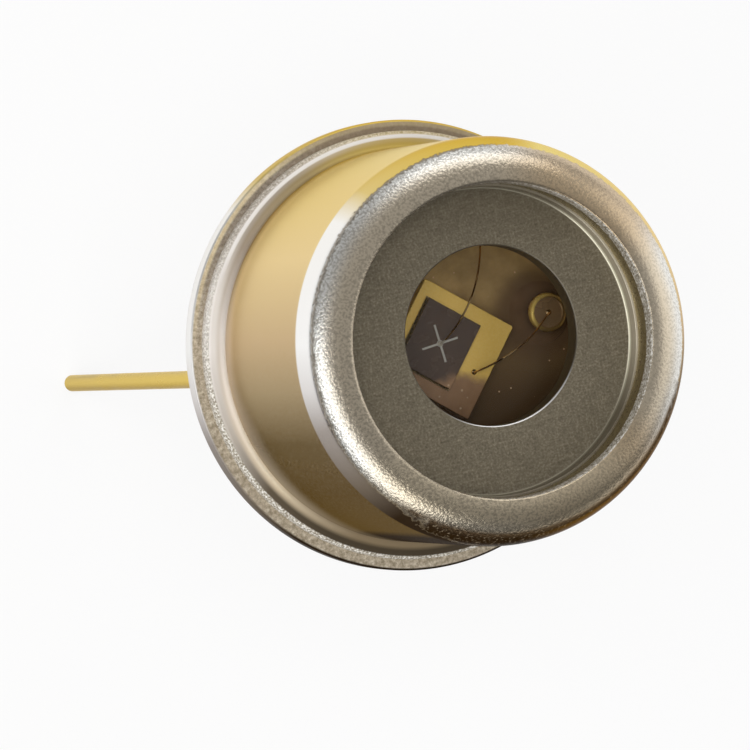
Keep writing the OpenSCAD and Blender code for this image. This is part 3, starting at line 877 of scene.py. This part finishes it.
disc_finish = Finish("disc_matte", metallic=0.35, roughness=0.55)
height = disc_finish.axis((0, 0, 1))
upward = disc_finish.upward()
headward = disc_finish.axis(in_row(0, 1, 0))
scratches = disc_finish.math(
    "MAXIMUM", disc_finish.noise(0.05, detail=3, stretch=(1, 0.2, 1), seed=7.0),
    disc_finish.noise(0.05, detail=3, stretch=(0.2, 1, 1), seed=3.0))
tumbled = disc_finish.math(
    "ADD", disc_finish.times(disc_finish.noise(0.045, detail=4, rough=0.65), 0.65),
    disc_finish.times(scratches, 0.35))
matt = disc_finish.ramp(tumbled, *MATT)
matt = disc_finish.mix(disc_finish.between(headward, 1.6, 2.8, 0, 0.35), matt, MATT_SHADED)
turned_lines = disc_finish.noise(0.05, detail=2, stretch=(0.05, 0.05, 1), seed=2.0)
side = disc_finish.mix(turned_lines, RIM_GREY, RIM_PALE)
# Painted shade on the rim's inner side towards the picture's foot and head.
shaded_sides = disc_finish.math(
    "MAXIMUM", disc_finish.between(upward, 0.0, -0.55, 0, 0.85),
    disc_finish.between(upward, 0.7, 0.92, 0, 0.75))
side = disc_finish.mix(shaded_sides, side, RIM_SHADED)
on_rim = disc_finish.between(height, disc_face + 0.01, disc_face + 0.03)
off_axis = disc_finish.radius(aperture_x, aperture_y)
on_edge = disc_finish.times(
    disc_finish.between(off_axis, aperture_r + aperture_edge_r, aperture_r + 0.5 * aperture_edge_r),
    disc_finish.between(height, disc_face - 1.5 * aperture_edge_r, disc_face - aperture_edge_r))
bright = disc_finish.math("MAXIMUM", on_rim, on_edge)
rim_foot = disc_finish.times(
    disc_finish.between(height, disc_face + 0.005, disc_face + 0.015),
    disc_finish.between(height, disc_face + 1.5 * disc_rim_fillet_r, disc_face + disc_rim_fillet_r))
# Painted highlight on the opening's edge towards the picture's foot, painted shade elsewhere.
lit = disc_finish.between(disc_finish.axis(in_row(0.3, -0.95, 0)), 0.9, 1.7)
hairline = disc_finish.mix(lit, HAIRLINE_PAINTED_SHADE, HAIRLINE_PAINTED_HIGHLIGHT)
grey = disc_finish.mix(on_edge, disc_finish.mix(on_rim, matt, side), hairline)
# Painted shade in the opening's bore.
bore = disc_finish.times(
    disc_finish.between(off_axis, aperture_r + 0.015, aperture_r + 0.005),
    disc_finish.between(height, disc_face - 0.02, disc_face - 0.04))
grey = disc_finish.mix(bore, grey, BORE_PAINTED_SHADE)
grey = disc_finish.mix(rim_foot, grey, disc_finish.mix(shaded_sides, RIM_GLINT, RIM_FOOT_SHADED))
back = disc_finish.between(height, disc_low + 0.02, disc_low + 0.01)
disc_finish.set("Base Color", disc_finish.mix(back, grey, DISC_BACK))
shine = disc_finish.between(bright, 0, 1, 0.35, 0.5)
disc_finish.set("Metallic", disc_finish.between(rim_foot, 0, 1, shine, 0.5))
disc_finish.set("Roughness", disc_finish.between(bright, 0, 1, 0.55, 0.2))
bump_h = disc_finish.between(bright, 0, 1, tumbled_h, polished_h)
disc_finish.relief(disc_finish.times(tumbled, bump_h))

bm = bmesh.new()
disc_outline = [
    (aperture_r, disc_low), (aperture_r, disc_face), (disc_rim_r, disc_face),
    (disc_rim_r, disc_rim_top), (disc_r, disc_rim_top), (disc_r, disc_low)]
turned(bm, disc_outline, closed=True)
move_ring(bm, aperture_r, aperture_x, aperture_y)
round_off(bm, ring_at(bm, disc_rim_r, disc_face), disc_rim_fillet_r, 5)
round_off(bm, ring_at(bm, disc_rim_r, disc_rim_top), disc_rim_edge_r, 3)
for level in (disc_low, disc_face):
    round_off(bm, ring_at(bm, aperture_r, level, aperture_x, aperture_y), aperture_edge_r, 3)
finish_piece(bm, "disc_plate", disc_finish.material, "aperture_disc")

# Window
# Flat polished pane of glass under the disc, held by a ring of dark sealing glass.
# It is thin and clear, and coated, so that only a faint sheen shows.
pane_low, pane_high = (corner.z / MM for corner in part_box("window_glass"))
pane_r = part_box("window_glass")[1].x / MM
pane_edge_r = 0.05
GLASS_INDEX = 1.46
COATED_SHARE = 0.2
FRIT_DARK = (0.06, 0.058, 0.05)
FRIT_GREY = (0.13, 0.125, 0.11)

frit_finish = Finish("seal_glass", metallic=0.0, roughness=0.3)
frit = frit_finish.noise(0.1, detail=3)
frit_finish.set("Base Color", frit_finish.mix(frit, FRIT_DARK, FRIT_GREY))
dress("window_seal", frit_finish)

pane_finish = Finish("window", metallic=0.0, roughness=0.0)
clear = pane_finish.add("ShaderNodeBsdfTransparent")
sheen = pane_finish.add("ShaderNodeBsdfGlossy")
sheen.inputs["Roughness"].default_value = 0.02
edge_light = pane_finish.add("ShaderNodeFresnel")
edge_light.inputs["IOR"].default_value = GLASS_INDEX
pane_mix = pane_finish.add("ShaderNodeMixShader")
pane_finish.put(pane_mix.inputs[0], pane_finish.times(edge_light.outputs["Fac"], COATED_SHARE))
pane_finish.put(pane_mix.inputs[1], clear.outputs["BSDF"])
pane_finish.put(pane_mix.inputs[2], sheen.outputs["BSDF"])
pane_finish.put(pane_finish.nodes["Material Output"].inputs["Surface"], pane_mix.outputs["Shader"])

bm = bmesh.new()
turned(bm, [(0, pane_low), (pane_r, pane_low), (pane_r, pane_high), (0, pane_high)])
round_off(bm, ring_at(bm, pane_r, pane_low) + ring_at(bm, pane_r, pane_high), pane_edge_r, 3)
finish_piece(bm, "window_pane", pane_finish.material, "window_glass")

# Floor, lamps and sky
# A plain white floor just below the tips of the leads, and three soft lamps. The one behind the camera
# lights the inside of the can and isn't reflected. The sky is dim, bright low on the picture's right
# and dark towards its foot.
LAMP_DISTANCE = 0.4
FLOOR_WHITE = (0.95, 0.95, 0.95)
FLOOR_GLOW = 0.8
floor_size = 0.5
floor_gap = 0.01
floor_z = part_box("case_lead")[0].z - floor_gap * MM
bm = bmesh.new()
bmesh.ops.create_grid(bm, x_segments=1, y_segments=1, size=floor_size)
bmesh.ops.translate(bm, verts=bm.verts, vec=(0, 0, floor_z))
floor_mesh = bpy.data.meshes.new("floor")
bm.to_mesh(floor_mesh)
bm.free()
floor = bpy.data.objects.new("floor", floor_mesh)
bpy.context.scene.collection.objects.link(floor)
floor_finish = Finish("floor_white", metallic=0.0, roughness=0.9)
floor_finish.set("Base Color", FLOOR_WHITE)
looks = floor_finish.add("ShaderNodeLightPath").outputs
looked_at = floor_finish.math("MAXIMUM", looks["Is Camera Ray"], looks["Is Glossy Ray"])
looked_at = floor_finish.math("MAXIMUM", looked_at, looks["Is Transmission Ray"])
glow = floor_finish.add("ShaderNodeEmission")
floor_mix = floor_finish.add("ShaderNodeMixShader")
floor_finish.put(floor_mix.inputs[0], floor_finish.times(looked_at, FLOOR_GLOW))
floor_finish.put(floor_mix.inputs[1], floor_finish.surface.outputs["BSDF"])
floor_finish.put(floor_mix.inputs[2], glow.outputs["Emission"])
floor_finish.put(floor_finish.nodes["Material Output"].inputs["Surface"], floor_mix.outputs["Shader"])
floor_mesh.materials.append(floor_finish.material)


def lamp(name, way, width, height, level):
    """A soft oblong lamp that lights a white surface facing it to this level."""
    data = bpy.data.lights.new(name, "AREA")
    data.shape = "RECTANGLE"
    data.size = width
    data.size_y = height
    data.energy = math.pi ** 2 * level * LAMP_DISTANCE ** 2
    way = way.normalized()
    lamp_object = bpy.data.objects.new(name, data)
    lamp_object.location = way * LAMP_DISTANCE
    lamp_object.rotation_euler = way.to_track_quat("Z", "Y").to_euler()
    bpy.context.scene.collection.objects.link(lamp_object)
    return lamp_object


lamp("key_lamp", in_row(-0.63, -0.53, 0.565), width=0.6, height=0.2, level=0.42)
lamp("back_lamp", in_row(0.17, 0.87, 0.465), width=0.34, height=0.18, level=0.17)
fill_lamp = lamp("fill_lamp", to_camera, width=0.16, height=0.16, level=0.38)
fill_lamp.visible_glossy = False

world = bpy.data.worlds.new("sky")
world.use_nodes = True
bpy.context.scene.world = world
sky = Nodes(world.node_tree)
way = sky.add("ShaderNodeTexCoord").outputs["Generated"]
above = sky.vector_math("DOT_PRODUCT", way, (0, 0, 1))
eastward = sky.vector_math("DOT_PRODUCT", way, tuple(in_row(0.94, 0.1, 0.33)))
southward = sky.vector_math("DOT_PRODUCT", way, tuple(in_row(0.1, -0.99, 0)))
level = sky.between(eastward, 0.78, 0.95, 0.38, 1.1)
dark = sky.times(sky.between(southward, -0.05, 0.6), sky.between(above, 0.6, 0.1, 0.5, 0.75))
strength = sky.times(level, sky.math("SUBTRACT", 1.0, dark))
sky.put(sky.nodes["Background"].inputs["Strength"], strength)
sky.put(sky.nodes["Background"].inputs["Color"], (1, 1, 1))
